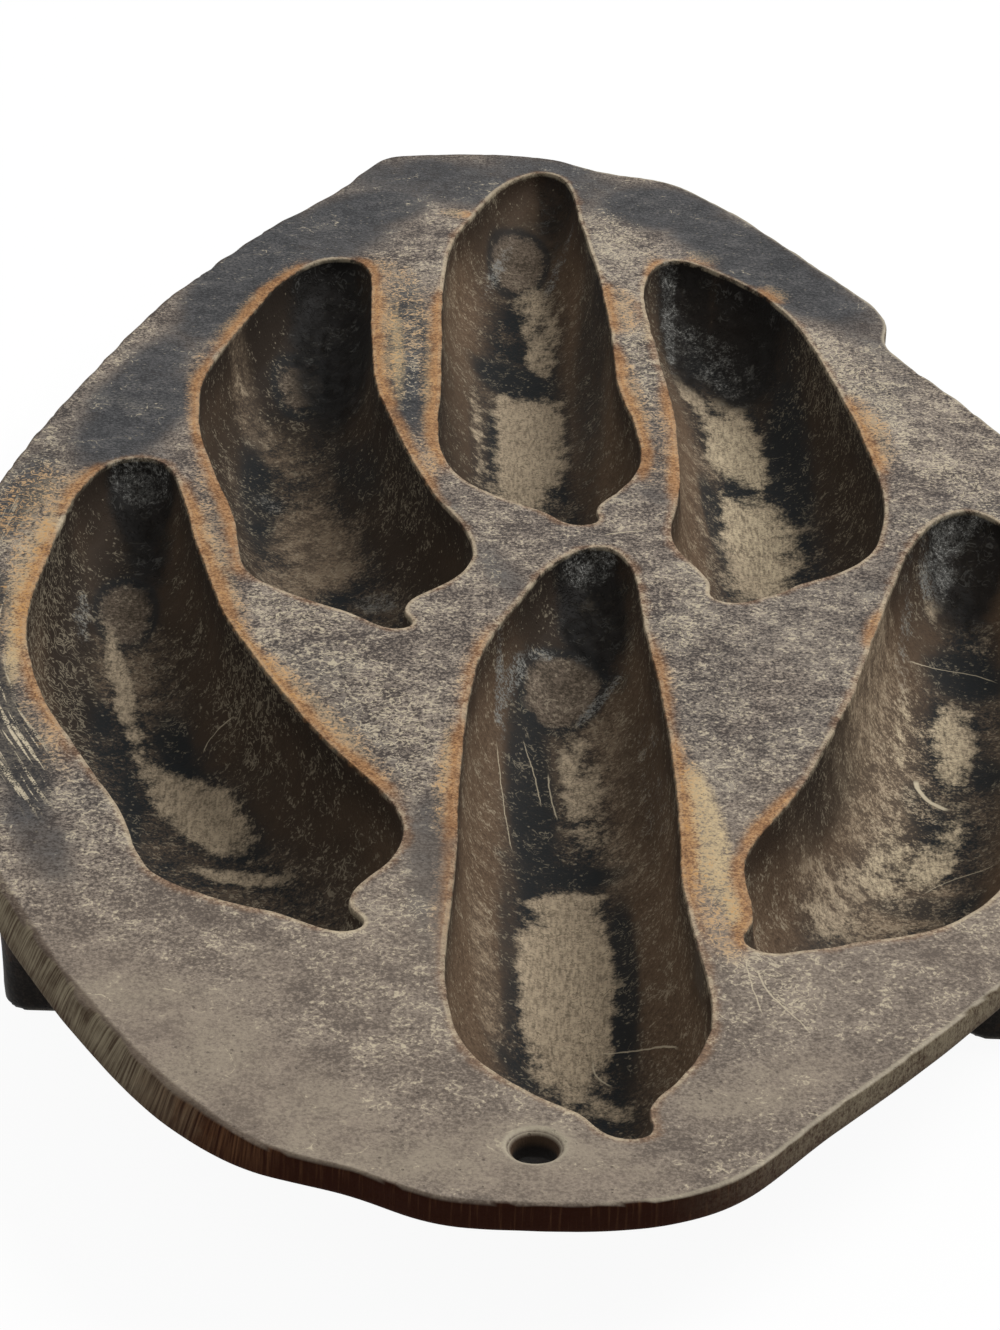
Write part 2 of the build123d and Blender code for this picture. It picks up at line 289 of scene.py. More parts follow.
def addField(border, holes, spacing, heightAt, kind):   # triangles inside a border and outside holes
    rings = [border] + holes
    flat = [np.array([points[i][:2] for i in ring]) for ring in rings]
    edge = np.vstack(flat)
    tree = treeOf(edge)
    (lowX, lowY), (highX, highY) = edge.min(0), edge.max(0)
    grid = []
    for size, crusty in ((spacing, False), (spacing / 2, True)):   # burnt crust is finer
        for row, y in enumerate(np.arange(lowY, highY, size * math.sqrt(3) / 2)):
            line = np.arange(lowX + size * (row % 2) / 2, highX, size)
            if kind == "upper":
                line = line[(spotValues("soot", line, y) > 0.3) == crusty]
            grid += [(x, y) for x in line]
        if kind != "upper":
            break
    grid = np.array(grid)
    keep = inside(grid, flat[0])
    for ring in flat[1:]:
        keep &= ~inside(grid, ring)
    grid = np.array([p for p in grid[keep] if tree.find((p[0], p[1], 0))[2] > 0.7 * spacing])
    numbers = [i for ring in rings for i in ring]
    for x, y in grid:
        numbers.append(len(points))
        points.append((x, y, heightAt(x, y)))
        kinds.append(kind)
        steps.append(0)
    joins, metalLeft, start = [], set(), 0
    for ring in rings:
        count = len(ring)
        around = [(start + i, start + (i + 1) % count) for i in range(count)]
        metalLeft |= set(around if ring is border else [(b, a) for a, b in around])
        joins += around
        start += count
    every = np.vstack([edge, grid]) if len(grid) else edge
    fitted, _, found, origin, _, _ = delaunay_2d_cdt([Vector(p) for p in every], joins, [], 0, 1e-5)
    fitted = np.array(fitted)
    middles = np.array([fitted[list(face)].mean(0) for face in found])
    keep = inside(middles, flat[0])
    for ring in flat[1:]:
        keep &= ~inside(middles, ring)
    for face, kept in zip(found, keep):
        corners = [origin[i][0] for i in face]
        sides = list(zip(corners, corners[1:] + corners[:1]))
        if any(side in metalLeft for side in sides):
            kept = True
        elif any((b, a) in metalLeft for a, b in sides):
            kept = False
        if kept:
            faces.append(tuple(numbers[i] for i in corners))
    return numbers[start:]


# heights read from the frame

def castTree(names):
    corners, sides = [], []
    for name in names:
        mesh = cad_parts[name].data
        sides += [[len(corners) + i for i in face.vertices] for face in mesh.polygons]
        corners += [v.co * 1000 for v in mesh.vertices]
    return BVHTree.FromPolygons(corners, sides)


castIron = castTree(["top_plate"] + cupNames)


def heightBelow(x, y):   # the upper surface, seen from above
    return castIron.ray_cast(Vector((x, y, panTop + 20)), Vector((0, 0, -1)))[0].z


def heightAbove(x, y):   # the underside, seen from below
    return castIron.ray_cast(Vector((x, y, -20)), Vector((0, 0, 1)))[0].z


def roomBeside(ring, most, side=1):   # how far each point can move in, or out, and not cross the ring
    tree, inward = treeOf(ring), side * inwardOf(ring)
    room = np.full(len(ring), most)
    for i, (p, n) in enumerate(zip(ring, inward)):
        for reach in np.arange(0.3, most + 0.01, 0.3):
            x, y = p + n * reach
            if tree.find((x, y, 0))[2] < 0.93 * reach:
                room[i] = reach - 0.3
                break
    for _ in range(3):
        room = np.minimum(room, np.minimum(np.roll(room, 1), np.roll(room, -1)))
    for _ in range(12):
        room = blurred(room)
    return np.maximum(0.75 * room, 0.15)


shape = {
    "ringSpacing": 1.05,     # along the rims
    "fieldSpacing": 1.3,     # floors and land
    "underSpacing": 1.9,
    "underRingSpacing": 1.4, # where a cup meets the plate's underside
    "edgeSpacing": 1.1,      # along the pan's outer edge
    "boreSpacing": 0.4,      # round the hanging hole
    "measureSpacing": 0.4,   # of rings that distances are measured to
    "lipRadius": 0.5,        # worn lips of the hollows
    "wallReach": 3.2,        # how far in the steep part of a wall goes
    "wallRows": 14,
    "fullness": 2.5,         # of a hollow's section, as in the frame
    "filletUnder": 1.6,      # where a cup meets the plate's underside
    "edgeRadius": 0.7,
    "slant": 2.4,            # how far in the top of a ground side lies
    "rimWobble": [(10.0, 0.22), (3.2, 0.12)],   # width and height of the unevenness of a rim
    "cutHeight": 15.2,       # where the skin is cut into plate and cups
    # unevenness: width and height of the bumps, and where the pattern starts
    "casting": [(34, 0.22, 7.3), (11, 0.14, 7.3), (4.5, 0.06, 7.3)],
    "crust": [(3.4, 1.5, 2.2), (1.7, 0.8, 4.1)],   # on burnt tips
    "slantBumps": (7, 0.5, 3.1),
    "radiusBumps": (5, 0.7, 9.4),
    "chips": (2.6, 1.0, 5.5),
}


def hollowRows(ring, fall, room, radius, top):   # a rounded lip and then a wall that falls to its foot
    rows = []
    for turn in np.linspace(0, math.pi / 2, 5):
        rows.append((-radius * (1 - math.sin(turn)), top - radius * (1 - math.cos(turn))))
    for t in np.linspace(0, 1, shape["wallRows"] + 1)[1:]:
        rows.append((room * t ** shape["fullness"], top - radius - (fall - radius) * t))
    return rows


def soften(numbers, passes):   # evens out the heights of a field, its border stays
    near = {}
    members = set(numbers)
    for face in faces:
        if any(i in members for i in face):
            for a, b in zip(face, face[1:] + face[:1]):
                near.setdefault(a, set()).add(b)
                near.setdefault(b, set()).add(a)
    for _ in range(passes):
        heights = {i: np.mean([points[j][2] for j in near[i]]) for i in numbers}
        for i, z in heights.items():
            points[i] = (points[i][0], points[i][1], (points[i][2] + z) / 2)


def makeHollow(name, ring):
    inward = inwardOf(ring)
    room = roomBeside(ring, shape["wallReach"])
    foot = ring + inward * room[:, None]
    fall = panTop - np.array([heightBelow(x, y) for x, y in foot])
    for _ in range(3):
        fall = blurred(fall)
    first, last = addRows(ring, hollowRows(ring, fall, room, shape["lipRadius"], panTop), "upper")
    floor = addField(list(last), [], shape["fieldSpacing"], heightBelow, "upper")
    soften(floor, 3)
    return list(first)


def makeShell(name, ring, gap):
    inward = inwardOf(ring)
    room = roomBeside(ring, 3.0)
    foot = ring + inward * room[:, None]
    low = np.array([heightAbove(x, y) for x, y in foot])
    for _ in range(3):
        low = blurred(low)
    fillet = np.minimum(roomBeside(ring, shape["filletUnder"] * 1.4, -1), 0.4 * gap)
    for _ in range(2):
        fillet = np.minimum(blurred(fillet), 0.4 * gap)
    rows = []
    for turn in np.linspace(0, math.pi / 2, 4):
        rows.append((-fillet * (1 - math.sin(turn)), plateUnder - fillet * (1 - math.cos(turn))))
    start = plateUnder - fillet
    for t in np.linspace(0, 1, 9)[1:]:
        rows.append((room * t ** shape["fullness"], start + (low - start) * t))
    first, last = addRows(ring, rows, "under")
    under = addField(list(last), [], shape["underSpacing"], heightAbove, "under")
    soften(under, 1)
    return list(first)


topOutlines = flatOutlines("top_plate", panTop)
underOutlines = flatOutlines("top_plate", plateUnder)
edgeRing = evenRing(underOutlines[0], shape["edgeSpacing"], 2)
edgeRing = np.roll(edgeRing, -int(np.argmax(edgeRing[:, 1])), 0)   # starts at the far end
hole = evenRing(topOutlines[-1], 0.5, 0)
holeBore = evenRing(underOutlines[-1], 0.35, 0)
rims = {}
for outline in topOutlines[1:-1]:
    middle = outline.mean(0)
    apart = {n: np.hypot(*(middle - np.array(sum(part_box(n), Vector())[:2]) * 500)) for n in cupNames}
    name = min(apart, key=apart.get)
    rim = evenRing(outline, shape["ringSpacing"], 2)
    for size, amount in shape["rimWobble"]:
        rim = wobble(rim, size, amount, 1.7)
    rims[name] = rim
print("outlines read:", {n: len(r) for n, r in rims.items()})

rimTops = [makeHollow(name, rims[name]) for name in cupNames]
print("hollows made", len(points))

shellRings = {n: evenRing(flatOutlines(n, plateUnder)[0], shape["underRingSpacing"], 2) for n in cupNames}
shellTops = []
for name in cupNames:
    beside = [shellRings[n] for n in cupNames if n != name] + [edgeRing, holeBore]
    others = treeOf(np.vstack([evenRing(ring, 0.2, 0) for ring in beside]))
    gap = np.array([others.find((x, y, 0))[2] for x, y in shellRings[name]])
    shellTops.append(makeShell(name, shellRings[name], gap))
print("shells made", len(points))

# outer edge, from the land over the rounded corner and down the side
slope = spotValues("slant", edgeRing[:, 0], edgeRing[:, 1]) * shape["slant"]
edgeSpots = [(x, y, 0) for x, y in edgeRing]
slope = np.array([s * (0.85 + wander(p, *shape["slantBumps"])) for s, p in zip(slope, edgeSpots)])
radius = shape["edgeRadius"] * np.array([1 + wander(p, *shape["radiusBumps"]) for p in edgeSpots])
chip = np.array([max(0, wander(p, *shape["chips"]) - 0.25) for p in edgeSpots]) * 0.5
deep = panTop - plateUnder
edgeRows = []
for turn in np.linspace(0, math.pi / 2, 5):
    drop = radius * (1 - math.cos(turn))
    edgeRows.append((slope * (1 - drop / deep) + radius * (1 - math.sin(turn)) + chip, panTop - drop))
for drop in (1.3, 2.0, 2.7, deep - 0.6, deep - 0.2):
    burr = 0.15 if drop == deep - 0.2 else 0
    edgeRows.append((slope * (1 - drop / deep) + chip * max(0, 1 - drop / 2) + burr, panTop - drop))
edgeRows.append((0.6, plateUnder))
edgeTop, edgeUnder = addRows(edgeRing, edgeRows, "edge")

# hanging hole, its mouth worn open
bore = np.hypot(*(holeBore - holeBore.mean(0)).T).mean()
boreRing = evenRing(holeBore, shape["boreSpacing"], 0)
mouth = np.hypot(*(hole - hole.mean(0)).T).mean() - bore
boreRows = [
    (-mouth - 0.5, panTop), (-mouth - 0.1, panTop - 0.12), (-mouth * 0.6, panTop - 0.5),
    (-0.15, panTop - mouth), (0, panTop - mouth - 0.4),
    (0, plateUnder + 0.5), (-0.2, plateUnder + 0.1), (-0.6, plateUnder),
]
holeTop, holeUnder = addRows(boreRing, boreRows, "edge")

landHoles, underHoles = rimTops + [list(holeTop)], shellTops + [list(holeUnder)]
addField(list(edgeTop), landHoles, shape["fieldSpacing"], lambda x, y: panTop, "upper")
print("land made", len(points))
addField(list(edgeUnder), underHoles, shape["underSpacing"], lambda x, y: plateUnder, "under")
print("underside made", len(points), len(faces))

rimTree = treeOf(np.vstack([evenRing(r, shape["measureSpacing"], 0) for r in rims.values()]))
flat = np.array(points)
hollowed = np.zeros(len(points), bool)
for ring in rims.values():
    hollowed |= inside(flat[:, :2], ring)
kinds = np.array(kinds)
above = kinds != "under"
values = {kind: spotValues(kind, flat[:, 0], flat[:, 1]) * above for kind in spots}
nearRim = np.array([rimTree.find((x, y, 0))[2] for x, y in flat[:, :2]])
farFromRim = 50   # mm, for the underside, where no rim counts
values["fromRim"] = np.where(above, np.where(hollowed, -nearRim, nearRim), farFromRim)
borderTree = treeOf(evenRing(edgeRing, shape["measureSpacing"], 0))
values["fromEdge"] = np.array([borderTree.find((x, y, 0))[2] for x, y in flat[:, :2]])
values["under"] = np.where(above, 0.0, 1.0)
values["along"] = np.array(steps) * shape["edgeSpacing"] * np.where(kinds == "edge", 1.0, 0.0)
fromHole = np.hypot(flat[:, 0] - holeBore[:, 0].mean(), flat[:, 1] - holeBore[:, 1].mean())
inBore = (fromHole < bore + 0.3) & (flat[:, 2] < panTop - mouth + 0.1)
values["bore"] = np.where(inBore & above, 1.0, 0.0)
values["mouth"] = np.where(above & ~inBore, np.clip(1 - (fromHole - bore - mouth) / 0.6, 0, 1), 0)
lowEdge = (kinds == "edge") & (flat[:, 2] < panTop - 0.25)
values["outer"] = np.where(lowEdge & (values["mouth"] < 0.5), 1.0, 0.0)
print("finish laid out")

# uneven casting: every surface swells and dips a little
for i, (x, y, z) in enumerate(points):
    dip = sum(wander((x, y, z), *bump) for bump in shape["casting"])
    if values["soot"][i] > 0.01 and z < panTop - 2:
        crust = sum(abs(wander((x, y, z), *bump)) for bump in shape["crust"]) - 0.4
        dip += values["soot"][i] * crust
    if z > panTop - 0.05:
        dip -= 0.15   # the land dips only, so that it stays at or below the CAD's top face
    if z > 0.4:
        points[i] = (x, y, min(z + dip, panTop))

mesh = bpy.data.meshes.new("skin")
metres = [tuple(c * 0.001 for c in p) for p in points]
mesh.from_pydata(metres, [], [tuple(int(i) for i in f) for f in faces])


def setValues(target, kind, numbers):   # one number at each point of a mesh, for the material
    layer = target.attributes.new(kind, "FLOAT", "POINT")
    layer.data.foreach_set("value", np.asarray(numbers, np.float32))


for kind, numbers in values.items():
    setValues(mesh, kind, numbers)
skin = bmesh.new()
skin.from_mesh(mesh)
bmesh.ops.recalc_face_normals(skin, faces=skin.faces)
openEdges = sum(not e.is_manifold for e in skin.edges)
print("skin made, open edges", openEdges, "volume cm3", round(skin.calc_volume() * 1e6, 2))
cut = shape["cutHeight"] * 0.001
everything = skin.verts[:] + skin.edges[:] + skin.faces[:]
bmesh.ops.bisect_plane(skin, geom=everything, plane_co=(0, 0, cut), plane_no=(0, 0, 1))
skin.normal_update()
skin.verts.index_update()
skin.to_mesh(mesh)
whole = {
    "corners": np.array([v.co for v in skin.verts]),
    "normals": [v.normal.copy() for v in skin.verts],
    "faces": [[v.index for v in f.verts] for f in skin.faces],
    "middles": np.array([f.calc_center_median() for f in skin.faces]),
}
for kind in values:
    numbers = np.zeros(len(skin.verts), np.float32)
    mesh.attributes[kind].data.foreach_get("value", numbers)
    values[kind] = numbers
skin.free()


def makePiece(name, chosen, capUp):   # one closed piece of the skin, with flat faces where it was cut
    used = sorted({i for f in chosen for i in whole["faces"][f]})
    local = {i: n for n, i in enumerate(used)}
    piece = bpy.data.meshes.new(name)
    sides = [[local[i] for i in whole["faces"][f]] for f in chosen]
    piece.from_pydata([whole["corners"][i] for i in used], [], sides)
    for kind in values:
        setValues(piece, kind, values[kind][used])
    shell = bmesh.new()
    shell.from_mesh(piece)
    rimEdges = [e for e in shell.edges if e.is_boundary]
    ends = np.array([e.verts[0].co[:2] for e in rimEdges]) * 1000
    outward = Vector((0, 0, 1 if capUp else -1))   # of the flat faces
    capped = len(shell.faces)
    for cup in cupNames:
        edges = [rimEdges[i] for i in np.nonzero(inside(ends, shellRings[cup]))[0]]
        if edges:
            bmesh.ops.triangle_fill(shell, edges=edges, use_beauty=True, normal=outward)
    shell.faces.ensure_lookup_table()
    for f in shell.faces[capped:]:
        f.normal_update()
        if (f.normal.z > 0) != capUp:
            f.normal_flip()
    print(name, len(shell.faces), "faces, open edges", sum(not e.is_manifold for e in shell.edges))
    shell.to_mesh(piece)
    shell.free()
    for poly in piece.polygons:
        poly.use_smooth = True
    normals = []
    for number, poly in enumerate(piece.polygons):
        for corner in poly.vertices:
            normals.append(whole["normals"][used[corner]] if number < capped else outward)
    piece.normals_split_custom_set(normals)
    made = bpy.data.objects.new(name, piece)
    bpy.context.scene.collection.objects.link(made)
    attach(made, "root")
    return made


lower = whole["middles"][:, 2] < cut
pieces = {}
leftOver = int(lower.sum())
for cup in cupNames:
    chosen = np.nonzero(lower & inside(whole["middles"][:, :2] * 1000, shellRings[cup]))[0]
    leftOver -= len(chosen)
    pieces[cup] = makePiece(cup.replace("cup_", "pepper_cup_"), chosen, True)
    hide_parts(cup)
pieces["plate"] = makePiece("pan_plate", np.nonzero(~lower)[0], False)
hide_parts("top_plate")
print("faces left over", leftOver)

# feet, short cast blocks with rounded edges
footShape = {
    "grain": 0.6,    # mm, how fine the block is divided
    "swell": 0.25,   # mm, how much the smoothed block is blown up again
    "bumps": [(7, 0.25, 0.0), (3, 0.12, 5.0)],   # width and height in mm, and where the pattern starts
}


def makeFoot(node):
    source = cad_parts[node]
    block = source.data.copy()
    foot = bpy.data.objects.new(node.replace("foot_", "casting_foot_"), block)
    bpy.context.scene.collection.objects.link(foot)
    work = bmesh.new()
    work.from_mesh(block)
    bmesh.ops.remove_doubles(work, verts=work.verts, dist=1e-5)
    work.to_mesh(block)
    work.free()
    block.materials.clear()
    remesh = foot.modifiers.new("grain", "REMESH")
    remesh.mode = "VOXEL"
    remesh.voxel_size = footShape["grain"] * 0.001
    smooth = foot.modifiers.new("soft", "SMOOTH")
    smooth.iterations = 4
    smooth.factor = 0.5
    bpy.context.view_layer.update()
    done = bpy.data.meshes.new_from_object(foot.evaluated_get(bpy.context.evaluated_depsgraph_get()))
    foot.modifiers.clear()
    foot.data = done
    for v in done.vertices:
        spot = v.co * 1000
        rise = footShape["swell"] + sum(wander(spot, *bump) for bump in footShape["bumps"])
        if spot.z > 0.5:
            v.co += v.normal * rise * 0.001
    setValues(done, "under", np.ones(len(done.vertices)))
    setValues(done, "fromRim", np.full(len(done.vertices), farFromRim))
    for poly in done.polygons:
        poly.use_smooth = True
    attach(foot, "root")
    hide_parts(node)
    return foot


for node in ("foot_left", "foot_right"):
    pieces[node] = makeFoot(node)
print("pieces made:", sorted(p.name for p in pieces.values()))

# materials


def linear(hexColour):   # sRGB hex to the linear colour that nodes take
    parts = [int(hexColour[i:i + 2], 16) / 255 for i in (1, 3, 5)]
    return [c / 12.92 if c <= 0.04045 else ((c + 0.055) / 1.055) ** 2.4 for c in parts] + [1.0]


def addNode(tree, kind, settings=None, links=None, out=0):   # adds a node and gives one of its outputs
    node = tree.nodes.new("ShaderNode" + kind)
    for key, value in (settings or {}).items():
        if isinstance(key, str) and hasattr(node, key):
            setattr(node, key, value)
        else:
            node.inputs[key].default_value = value
    for key, socket in (links or {}).items():
        tree.links.new(socket, node.inputs[key])
    return node.outputs[out] if node.outputs else None


ironLook = {
    # the land between the hollows
    "landDark": "#3b3430", "landMid": "#81766b", "landPale": "#a89c8b",
    "slateDark": "#1e2022", "slatePale": "#494a4d",
    "wornPink": "#958679", "wornOlive": "#8f8673", "wornDark": "#786d61",
    "calmDark": "#6b6056", "calm": "#8d8072", "hair": "#c3b69c",
    "rustDeep": "#67462f", "rust": "#a5784c", "gold": "#c4ad84", "rustHair": "#b3854f",
    "lip": "#b8aa90", "corner": "#a79d89",
    # the hollows
    # the darkest wall colour stands for burnt seasoning and for painted shade
    "wallTop": "#362b22", "wallLow": "#5f4e3e", "burntAndShadedWall": "#241e19",
    "floorDark": "#1e2021", "floorGrey": "#54483c", "dust": "#857460",
    "discDark": "#3c342a", "disc": "#6d6053",
    # the two sheen colours are painted reflection, and the glint colour below is a painted highlight
    "paintedSheen": "#73726d", "paintedSheenLow": "#4a4946", "pocket": "#6d665b",
    "bareDark": "#6d6151", "bare": "#b1a087", "barePaintedLit": "#cfbe9f", "soot": "#171615", "paintedGlint": "#a3a29c",
    # outer side and underside
    "sideRed": "#240e05", "sideRust": "#4d3320", "sideBrown": "#3b2e23", "sidePale": "#7c725f",
    # the darkest underside colour is soot-black made darker still, as painted shade under the pan
    "underSootAndShade": "#171412", "underPale": "#2f2925", "underRust": "#3f2b1e", "rubbed": "#5c564d",
    # sizes in mm
    "fine": 0.3, "grain": 0.62, "mottle": 3.0, "cloud": 13.0, "swell": 48.0,
    "crookedHair": 1.7, "paintedGlintSize": 1.3, "longHair": 7.5, "speck": 1.3,
    "scrape": 0.7, "rub": 0.45, "grinding": 0.5,
    "closeRust": 2.1, "farRust": 4.6,   # how far the rust reaches from a rim
    # shine and relief
    "roughness": 0.5, "gloss": 0.06, "relief": {"Strength": 0.6, "Distance": 0.00028},
    # where a finish fades in, from none to full, in metres
    "wallFade": (0.0015, 0.0085),       # down a wall
    "pocketDepth": (0.006, 0.004),
    "standing": (0.0008, 0.0002),       # above the face that it stands on
    "brownFrom": (-0.022, -0.038),      # across the pan, to the left
    "groundFrom": (-0.036, -0.052),
    "rightFrom": (0.012, 0.04),         # and to the right
    "scratches": [   # three points along each on the plan, and its width
        (8.8, -109.9, 13.4, -111.6, 17.7, -117.0, 0.16), (7.1, -110.8, 7.5, -113.9, 9.1, -116.0, 0.14),
        (53.8, -40.3, 54.6, -45.1, 57.4, -47.7, 0.5), (26.4, -115.2, 27.4, -121.3, 28.9, -124.3, 0.16),
        (28.9, -124.3, 30.3, -126.8, 32.1, -130.5, 0.14), (9.1, 2.4, 12.1, 3.6, 15.3, 4.2, 0.2),
        (1.1, -43.9, 1.5, -49.4, 2.4, -54.6, 0.14), (24.9, -113.7, 25.5, -120.3, 26.4, -125.7, 0.12),
        (-48.1, -38.8, -46.8, -37.3, -43.0, -39.1, 0.12),
        (53.9, -15.0, 61.2, -11.1, 68.3, -14.8, 0.12), (51.6, -69.9, 57.0, -65.4, 61.0, -64.8, 0.12),
        (-2.7, -37.0, -0.9, -44.7, 0.0, -50.5, 0.12), (-6.3, -42.3, -5.2, -53.6, -3.8, -64.6, 0.1),
    ],
}


def circleThrough(a, b, c):   # centre in metres on the plan, and radius
    (ax, ay), (bx, by), (cx, cy) = a, b, c
    twice = 2 * (ax * (by - cy) + bx * (cy - ay) + cx * (ay - by)) or 0.001
    far, mid, near = ax * ax + ay * ay, bx * bx + by * by, cx * cx + cy * cy
    x = (far * (by - cy) + mid * (cy - ay) + near * (ay - by)) / twice
    y = (far * (cx - bx) + mid * (ax - cx) + near * (bx - ax)) / twice
    return (x / 1000, y / 1000, 0), math.hypot(x - ax, y - ay) / 1000


def seasonedCastIron(name, look):
    # sand-cast grey iron under burnt oil: a grainy dull skin, blue-black where the oil is thick,
    # tan where it is worn off, orange with rust along the lips
    made = bpy.data.materials.new(name)
    made.use_nodes = True
    tree = made.node_tree
    tree.nodes.clear()
    place = addNode(tree, "TexCoord", out=3)
    sideways = addNode(tree, "SeparateXYZ", links={0: place})
    lengthways = addNode(tree, "SeparateXYZ", links={0: place}, out=1)
    height = addNode(tree, "SeparateXYZ", links={0: place}, out=2)

    def calc(operation, a, b=None, clamp=False):
        settings, links = {"operation": operation, "use_clamp": clamp}, {}
        for key, item in enumerate((a, b)):
            if isinstance(item, (int, float)):
                settings[key] = item
            elif item is not None:
                links[key] = item
        return addNode(tree, "Math", settings, links)

    def both(a, b):
        return calc("MULTIPLY", a, b)

    def noiseOf(size, detail=3.0, rough=0.55, bend=0.0, spot=place):
        settings = {"Scale": 1000 / size, "Detail": detail, "Roughness": rough, "Distortion": bend}
        return addNode(tree, "TexNoise", settings, {"Vector": spot})

    def ramp(value, low, high):
        settings = {"interpolation_type": "SMOOTHSTEP", "From Min": low, "From Max": high}
        return addNode(tree, "MapRange", settings, {"Value": value})

    def centred(value, amount):   # a noise turned to plus and minus the amount
        return calc("MULTIPLY", calc("SUBTRACT", value, 0.5), 2 * amount)

    def summed(*values):
        total = values[0]
        for value in values[1:]:
            total = calc("ADD", total, value)
        return total

    def mixed(share, a, b):   # colours are named as in the look
        settings, links = {"data_type": "RGBA"}, {}
        for key, item in ((0, share), (6, a), (7, b)):
            if isinstance(item, str):
                settings[key] = linear(look[item])
            elif isinstance(item, (int, float)):
                settings[key] = item
            else:
                links[key] = item
        return addNode(tree, "Mix", settings, links, out=2)

    def read(kind):
        return addNode(tree, "Attribute", {"attribute_name": kind}, out=2)

    def distance(spot, centre):
        return addNode(tree, "VectorMath", {"operation": "DISTANCE", 1: centre}, {0: spot}, out=1)

    fine, grain = noiseOf(look["fine"], 2, 0.6), noiseOf(look["grain"], 3, 0.6)
    mottle, cloud = noiseOf(look["mottle"], 4, 0.6), noiseOf(look["cloud"], 4, 0.6)
    swell = noiseOf(look["swell"], 2, 0.5)
    fromRim, fromEdge, under, outer = read("fromRim"), read("fromEdge"), read("under"), read("outer")
    bare, slate, soot, rust = read("bare"), read("slate"), read("soot"), read("rust")
    fleck, worn, dark, paintedSheen = read("fleck"), read("worn"), read("dark"), read("paintedSheen")
    pocket, slant, charAndShade, gold = read("pocket"), read("slant"), read("charAndShade"), read("gold")
    dusty, disc, pale, scored = read("dusty"), read("disc"), read("pale"), read("scored")
    dim = read("dim")
    mouth, boreWall = read("mouth"), read("bore")

    # hairs: thin crooked lines along the middle level of a noise, broken up by another
    def hairsOf(size, width, density, bend):
        level = noiseOf(size, 2, 0.5, bend)
        line = ramp(calc("ABSOLUTE", calc("SUBTRACT", level, 0.5)), width, width * 0.35)
        return both(line, ramp(summed(both(grain, 0.5), both(mottle, 0.5), density), 0.49, 0.58))

    ragged = summed(centred(fine, 0.30), centred(grain, 0.35), centred(mottle, 0.35))
    density = summed(both(fleck, 0.19), centred(cloud, 0.12))
    density = summed(density, both(worn, -0.14), both(dark, -0.14), both(under, -0.3))
    hairs = calc("MAXIMUM", hairsOf(look["crookedHair"], 0.045, density, 1.2),
                 both(hairsOf(look["longHair"], 0.008, 0.0, 0.6), ramp(cloud, 0.45, 0.6)))
    cellSize = {"Scale": 1000 / look["speck"]}
    cells = addNode(tree, "TexVoronoi", cellSize, {"Vector": place})
    cellColour = addNode(tree, "TexVoronoi", cellSize, {"Vector": place}, out=1)
    cellKey = addNode(tree, "SeparateColor", links={0: cellColour})
    specks = both(ramp(cells, 0.20, 0.12), ramp(cellKey, 0.72, 0.74))
    pits = both(ramp(cells, 0.17, 0.1), ramp(cellKey, 0.25, 0.22))
    roundRim = addNode(tree, "CombineXYZ", links={0: both(fromRim, 0.001), 1: both(lengthways, 0.04)})
    scrapes = ramp(noiseOf(look["scrape"], 2, 0.5, 0.0, roundRim), 0.54, 0.60)
    scrapes = both(scrapes, ramp(summed(fine, mottle), 0.9, 1.08))

    # land
    tone = summed(both(grain, 0.55), both(fine, 0.45), centred(mottle, 0.17), centred(cloud, 0.12))
    shade = summed(tone, both(pale, 0.05), both(fleck, 0.02))
    land = mixed(ramp(shade, 0.40, 0.57), "landDark", "landMid")
    land = mixed(ramp(shade, 0.56, 0.66), land, "landPale")
    cold = mixed(ramp(tone, 0.36, 0.70), "slateDark", "slatePale")
    darkShare = ramp(summed(dark, centred(cloud, 0.45), both(ragged, 0.8)), 0.15, 0.8)
    land = mixed(both(darkShare, 0.92), land, cold)
    land = mixed(both(ramp(summed(swell, centred(cloud, 0.3)), 0.5, 0.62), 0.25), land, cold)
    tint = mixed(ramp(summed(cloud, centred(grain, 0.2)), 0.3, 0.7), "wornPink", "wornOlive")
    rubbed = mixed(ramp(summed(both(tone, 0.75), both(cloud, 0.25)), 0.34, 0.62), "wornDark", tint)
    wornShare = ramp(summed(worn, centred(cloud, 0.5), both(ragged, 0.7)), 0.0, 1.0)
    land = mixed(both(wornShare, 0.8), land, rubbed)
    nearEnd = ramp(summed(lengthways, both(sideways, -0.3), centred(cloud, 0.02)), -0.058, -0.115)
    calmTone = ramp(summed(both(tone, 0.8), both(cloud, 0.2)), 0.36, 0.62)
    calmed = mixed(calmTone, "calmDark", "calm")
    land = mixed(both(nearEnd, 0.6), land, calmed)
    filmEdge = summed(fromRim, centred(mottle, 2.5), centred(grain, 1.5))
    film = summed(calc("MAXIMUM", both(rust, 0.5), gold), both(ragged, 0.7))
    goldShare = both(ramp(film, 0.15, 0.9), ramp(filmEdge, 11.0, 2.0))
    land = mixed(both(goldShare, 0.8), land, mixed(ramp(tone, 0.32, 0.56), "wornDark", "gold"))
    land = mixed(both(hairs, 0.65), land, mixed(ramp(gold, 0.1, 0.7), "hair", "gold"))
    land = mixed(both(specks, 0.15), land, "hair")
    land = mixed(both(pits, 0.5), land, "landDark")
    scoredShare = both(ramp(scored, 0.2, 0.8), ramp(fromRim, 2.5, 4.5))
    land = mixed(both(scoredShare, 0.72), land, "slateDark")
    land = mixed(both(both(scrapes, scoredShare), 0.9), land, "hair")
    rustGrain = ramp(summed(both(fine, 0.4), both(grain, 0.35), both(mottle, 0.25)), 0.36, 0.58)
    rustTone = mixed(rustGrain, "rustDeep", "rust")
    haloWidth = summed(fromRim, centred(cloud, 1.6), centred(mottle, 0.8), centred(fine, 0.9))
